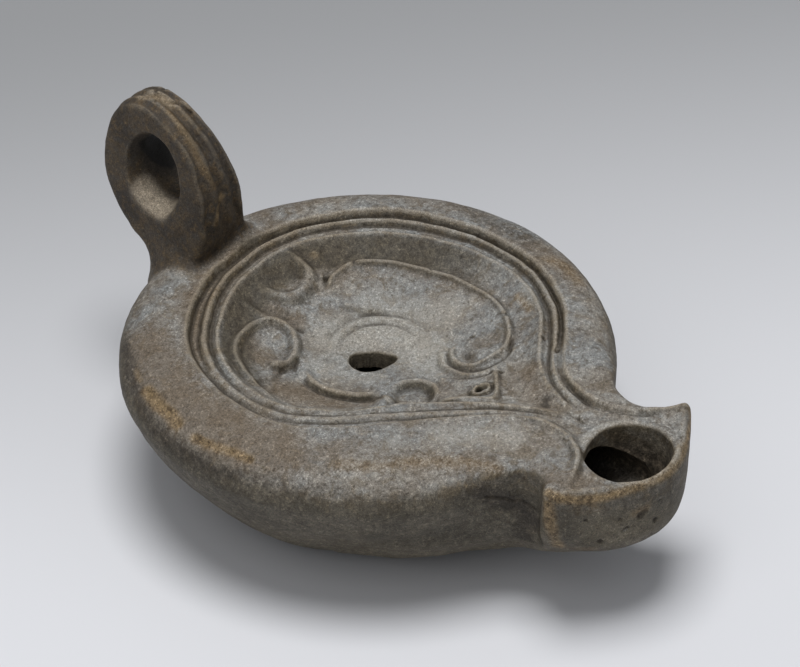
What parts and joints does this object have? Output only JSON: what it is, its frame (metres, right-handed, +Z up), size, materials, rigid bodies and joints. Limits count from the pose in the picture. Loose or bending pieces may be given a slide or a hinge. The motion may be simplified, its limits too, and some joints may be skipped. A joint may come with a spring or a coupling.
{
  "type": "oil lamp",
  "caption": "Moulded clay oil lamp: round hollow body with a sunken, ringed discus and filling hole, a horned nozzle with a wick hole, and an upright pierced handle.",
  "frame": {"origin": "centre of the flat base, on the ground, under the axis of the round body", "axes": "+Z up; the nozzle points to -Y and the handle to +Y; X is across the lamp"},
  "size_m": [0.0794, 0.1105, 0.0542],
  "materials": {
    "clay": "unglazed grey-brown fired clay, matt to dull satin, with darker worn slip, ochre wear along the edges and fine pits"
  },
  "bodies": {
    "root": {"lamp_body": "clay"}
  },
  "joints": []
}
